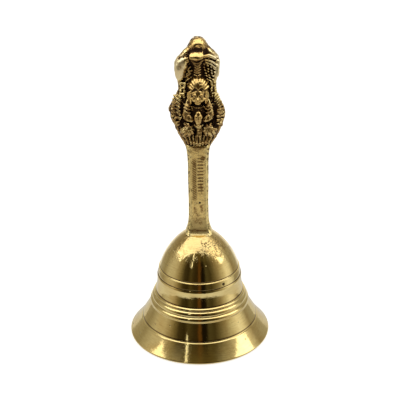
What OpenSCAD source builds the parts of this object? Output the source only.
// Brass puja bell: a turned bell on a cast figure handle, held by an eye bolt that carries a linked clapper.
// Frame: +Z up, origin at the centre of the mouth on the surface that the rim stands on. The figure faces -Y.

/* [Bell] */
// Diameter across the rim
rim_d = 72; // [68:1:76]
// Height of the bell, from the rim to the seat of the handle
bell_h = 56.4; // [54:0.1:59]
// Thickness of the bell's wall
wall = 2.3; // [1.8:0.1:2.8]

/* [Handle] */
// Height of the whole object
overall_h = 158.2; // [152:0.2:166]
// Width of the handle's grip
grip_w = 10; // [9:0.5:11]
// Depth of the handle's grip, front to back
grip_d = 7.4; // [6.5:0.1:8.5]
// Width across the wings of the figure
wing_span = 26.6; // [24:0.2:29]
// Width across the serpent's hood
hood_w = 21.2; // [19:0.2:23]

/* [Hardware] */
// Thread diameter of the eye bolt
bolt_d = 4; // [4:0.5:5]
// Wire diameter of the bolt's eye
eye_wire = 2.4; // [2.2:0.1:2.6]
// Wire diameter of the link between the eye and the clapper
link_wire = 1.6; // [1.4:0.1:1.8]

/* [Clapper] */
// Diameter of the clapper's ball
ball_d = 13; // [11:0.5:13.5]
// Height of the ball's centre above the rim
ball_z = 11; // [10:0.5:12]
// Wire diameter of the clapper's rod
rod_wire = 1.8; // [1.6:0.1:2]

/* [Hidden] */
$fn = 96;

brass = [0.83, 0.66, 0.32];
old_brass = [0.62, 0.48, 0.24];
zinc_steel = [0.70, 0.71, 0.73];
dark_iron = [0.38, 0.37, 0.36];

gap = 0.05;                        // radial play of every running fit

// Bell, as radii and heights of the outline's stations from the rim up
rim_r = rim_d / 2;
edge_r = 0.45;                     // rounding of the rim's outer edge
lip = [0.83 * rim_r, 0.148 * bell_h];
skirt_foot = [0.822 * rim_r, 0.163 * bell_h];
skirt_top = [0.697 * rim_r, 0.313 * bell_h];
waist_foot = [0.622 * rim_r, 0.432 * bell_h];
waist_top = [0.597 * rim_r, 0.55 * bell_h];
shoulder = [0.597 * rim_r, 0.59 * bell_h];
band_foot = [0.586 * rim_r, 0.596 * bell_h];
band_top = [0.572 * rim_r, 0.654 * bell_h];
dome_foot = [0.557 * rim_r, 0.666 * bell_h];
seat_r = 6.6;                      // flat on the crown that the handle stands on
dome_curve = 0.62 * bell_h;        // radius of the dome's arc
groove_depth = 0.45;
bead_heights = [2.4, 2.5, 1.5];    // the three turned rings, from the lowest up
lip_wall = 1.25 * wall;
crown_wall = 4.1;
crown_inside = [7.2, bell_h - crown_wall];

// Handle
foot_half = [6.6, 5];              // half width and half depth of the foot on its seat
foot_h = 9;
figure_z = 0.632 * overall_h;      // where the grip runs into the figure
grip_chamfer = 1.5;
plate_d = 6.6;                     // thickness of the plate behind the figure
thread_depth = 13;

// Eye bolt and its fastening, from the crown down
shank_r = bolt_d / 2;
washer = [4.7, 0.9];               // outer radius and thickness
spring_ring = [3.7, 1.0];
nut_flats = 7;
nut_h = 3.2;
washer_z = crown_inside[1] - washer[1];
spring_z = washer_z - spring_ring[1];
nut_z = spring_z - nut_h;
eye_r = 2.7;                       // mean radius of the bolt's eye
eye_z = nut_z - eye_r - eye_wire / 2 - 0.3;

// Link and clapper: each loop hangs on the wire of the one above it
link_r = 3.6;                      // mean radius of the link
link_axis_z = eye_z - eye_r;       // the link swings about the lowest wire of the eye
link_z = link_axis_z + (eye_wire + link_wire) / 2 + gap - link_r;
rod_eye_r = 2;                     // mean radius of the rod's eye
rod_axis_z = link_z - link_r;      // the rod swings about the lowest wire of the link
rod_eye_z = rod_axis_z + (link_wire + rod_wire) / 2 + gap - rod_eye_r;
collar = [1.6, 1.4];               // radius and height of the rod's shoulder above the ball
rivet = [1.9, 1.0];                // radius and height of the rod's headed end under the ball
ball_flat = 0.15;                  // depth of the two flats where the collar and the rivet bear on the ball

// Points on a circle of radius r from p to q, which bulges to the right of the way from p to q (r > 0) or to the left.
function arc(p, q, r, n = 10) =
    let (d = norm(q - p),
         side = [q[1] - p[1], p[0] - q[0]] / d,
         c = (p + q) / 2 - sign(r) * side * sqrt(r * r - d * d / 4),
         a = atan2(p[1] - c[1], p[0] - c[0]),
         turn = 2 * asin(d / 2 / abs(r)) * sign(r))
    [for (i = [0 : n]) c + abs(r) * [cos(a + turn * i / n), sin(a + turn * i / n)]];

// A Catmull-Rom curve through a list of points, n steps to a span. Its two end points only steer it.
function curve(p, n = 5) =
    concat([for (i = [1 : len(p) - 3], k = [0 : n - 1])
        let (t = k / n)
        0.5 * (2 * p[i] + (p[i + 1] - p[i - 1]) * t
             + (2 * p[i - 1] - 5 * p[i] + 4 * p[i + 1] - p[i + 2]) * t * t
             + (3 * p[i] - p[i - 1] - 3 * p[i + 1] + p[i + 2]) * t * t * t)],
        [p[len(p) - 2]]);

function sum_to(list, i) = i <= 0 ? 0 : list[i - 1] + sum_to(list, i - 1);

// One turned ring of the stack between the skirt and the waist: a round bead with a groove above it.
function bead(i) =
    let (along = waist_foot - skirt_top,
         total = sum_to(bead_heights, len(bead_heights)),
         p = skirt_top + along * sum_to(bead_heights, i) / total,
         q = skirt_top + along * (sum_to(bead_heights, i + 1) - 0.45) / total,
         proud = [0.3, 0])
    concat(arc(p + proud, q + proud, norm(q - p) * 0.95, 6), [q + [-0.15, 0.1]]);

outer_line = concat(
    arc([rim_r - edge_r, 0], [rim_r, edge_r], edge_r, 4),
    arc([rim_r, 2 * edge_r], lip, -90, 8),
    [lip - [groove_depth, -0.15], skirt_foot - [groove_depth, 0.1]],
    arc(skirt_foot, skirt_top, -70, 8),
    bead(0), bead(1), bead(2),
    arc(waist_foot, waist_top, -34, 8),
    [shoulder, band_foot, band_top, band_top + [-0.7 * groove_depth, 0.2],
     dome_foot + [-0.5 * groove_depth, -0.15]],
    arc(dome_foot, [seat_r, bell_h], dome_curve, 22));

inner_line = concat(
    [[bolt_d / 2 + 0.25, bell_h], [bolt_d / 2 + 0.25, crown_inside[1]]],
    arc(crown_inside, dome_foot - [wall, 0], -(dome_curve - wall), 20),
    [waist_top - [wall, 0]],
    arc(waist_top - [wall, 3], waist_foot - [wall + 0.1, 0], 34, 6),
    arc(skirt_top - [wall + 0.3, 0], lip - [lip_wall + 0.4, 0], 80, 6),
    [[rim_r - lip_wall - 0.2, 0]]);

module bell_body() {
    color(brass)
    rotate_extrude()
    polygon(concat(outer_line, inner_line));
}

// Half of the outline of the figure's plate: spade of the wings, neck, and serpent's hood. It runs from the grip up.
function plate_stations() =
    let (w = wing_span / 2, h = hood_w / 2, s = figure_z, t = overall_h - figure_z)
    [[grip_w / 2 - 1, s - 4], [grip_w / 2, s], [0.62 * w, s + 0.1 * t], [0.87 * w, s + 0.25 * t],
     [w, s + 0.36 * t], [0.87 * w, s + 0.47 * t], [0.84 * h, s + 0.57 * t], [0.92 * h, s + 0.67 * t],
     [h, s + 0.77 * t], [0.78 * h, s + 0.87 * t], [0.36 * h, s + 0.96 * t], [0, overall_h], [-0.5 * h, overall_h]];

module plate() {
    side = curve(plate_stations());
    rotate([90, 0, 0])
    translate([0, 0, -plate_d / 2])
    linear_extrude(plate_d)
    polygon(concat(side, [for (i = [len(side) - 2 : -1 : 0]) [-side[i][0], side[i][1]]]));
}

module grip() {
    w = grip_w / 2;
    d = grip_d / 2;
    c = grip_chamfer;
    translate([0, 0, bell_h + 1])
    linear_extrude(figure_z - bell_h + 3)
    polygon([[w, d - c], [w - c, d], [c - w, d], [-w, d - c], [-w, c - d], [c - w, -d], [w - c, -d], [w, c - d]]);
}

// Foot: the flare that spreads the grip's end over the seat, kept round so that it stays a turned face.
module foot() {
    translate([0, 0, bell_h])
    intersection() {
        rotate_extrude()
        polygon(concat([[0, 0], [foot_half[0], 0]], arc([foot_half[0], 0.8], [grip_w / 2 - 0.2, foot_h], -30, 8),
                       [[0, foot_h]]));
        translate([-foot_half[0], -foot_half[1], 0])
        cube([2 * foot_half[0], 2 * foot_half[1], foot_h]);
    }
}

// A straight limb from p to q.
module limb(p, q, r) {
    d = q - p;
    translate(p)
    rotate([0, acos(d[2] / norm(d)), atan2(d[1], d[0])])
    cylinder(h = norm(d), r = r);
}

// The kneeling winged figure, in plain rounded masses on the front of the plate.
module figure() {
    s = figure_z;
    front = -plate_d / 2;
    translate([0, front, s + 6])
    cylinder(h = 19, r = 4.6);
    translate([0, front - 1.2, s + 29.6])
    sphere(4.7);
    translate([0, front - 4.6, s + 15.4])
    cylinder(h = 6.4, r1 = 2.2, r2 = 1.2);
    for (side = [-1, 1]) {
        translate([side * 5.6, front + 1, s + 10.6])
        rotate([90, 0, 0])
        cylinder(h = 4.6, r = 3.2);
        limb([side * 6.0, front - 0.6, s + 23.6], [side * 6.4, front - 1.8, s + 15.6], 1.9);
        limb([side * 6.9, front - 1.9, s + 16.9], [side * 1.0, front - 4.0, s + 17.6], 1.5);
    }
}

module serpent_head() {
    translate([0, -plate_d / 2 - 1.2, overall_h - 9.6])
    sphere(4.1);
}

module handle() {
    color(old_brass)
    difference() {
        union() {
            foot();
            grip();
            plate();
            figure();
            serpent_head();
        }
        translate([0, 0, bell_h - 1])
        cylinder(h = thread_depth + 1, r = shank_r + gap);
    }
}

module ring(mean_r, wire) {
    rotate_extrude()
    translate([mean_r, 0])
    circle(d = wire, $fn = 48);
}

module eye_bolt() {
    color(zinc_steel) {
        translate([0, 0, eye_z])
        rotate([90, 0, 0])
        ring(eye_r, eye_wire);
        translate([0, 0, eye_z + eye_r])
        cylinder(h = bell_h + thread_depth - 0.5 - eye_z - eye_r, r = shank_r);
    }
}

module flat_ring(z, h, outer, inner) {
    translate([0, 0, z])
    difference() {
        cylinder(h = h, r = outer);
        translate([0, 0, -1])
        cylinder(h = h + 2, r = inner);
    }
}

module crown_washer() {
    color(zinc_steel)
    flat_ring(washer_z, washer[1], washer[0], shank_r + 0.2);
}

// Spring washer: closed flat by the nut, with its slanting cut left open.
module spring_washer() {
    cut = 0.7;
    color(zinc_steel)
    difference() {
        flat_ring(spring_z, spring_ring[1], spring_ring[0], shank_r + 0.1);
        translate([0, 0, spring_z - 1])
        rotate([0, 25, 35])
        translate([0, -cut / 2, -1])
        cube([spring_ring[0] + 3, cut, spring_ring[1] + 4]);
    }
}

module crown_nut() {
    color(zinc_steel)
    translate([0, 0, nut_z])
    difference() {
        intersection() {
            cylinder(h = nut_h, d = nut_flats / cos(30), $fn = 6);
            rotate_extrude()
            polygon([[0, 0], [nut_flats / 2, 0], [nut_flats / 2 / cos(30), 0.4],
                     [nut_flats / 2 / cos(30), nut_h - 0.4], [nut_flats / 2, nut_h], [0, nut_h]]);
        }
        translate([0, 0, -1])
        cylinder(h = nut_h + 2, r = shank_r + gap);
    }
}

module clapper_link() {
    color(dark_iron)
    translate([0, 0, link_z])
    rotate([0, 90, 0])
    ring(link_r, link_wire);
}

module clapper_rod() {
    bearing = ball_d / 2 - ball_flat;
    rivet_z = ball_z - bearing - rivet[1];
    color(dark_iron) {
        translate([0, 0, rod_eye_z])
        rotate([90, 0, 0])
        ring(rod_eye_r, rod_wire);
        translate([0, 0, rivet_z])
        cylinder(h = rod_eye_z - rod_eye_r - rivet_z, r = rod_wire / 2);
        translate([0, 0, ball_z + bearing])
        cylinder(h = collar[1], r = collar[0]);
        translate([0, 0, rivet_z])
        cylinder(h = rivet[1], r = rivet[0]);
    }
}

module clapper_ball() {
    color(brass)
    translate([0, 0, ball_z])
    difference() {
        sphere(d = ball_d);
        for (side = [-1, 1])
            translate([0, 0, side * (ball_d / 2 + 1 - ball_flat)])
            cube([ball_d, ball_d, 2], center = true);
        cylinder(h = ball_d + 2, r = rod_wire / 2 + gap, center = true);
    }
}

bell_body();
handle();
eye_bolt();
crown_washer();
spring_washer();
crown_nut();
clapper_link();
clapper_rod();
clapper_ball();
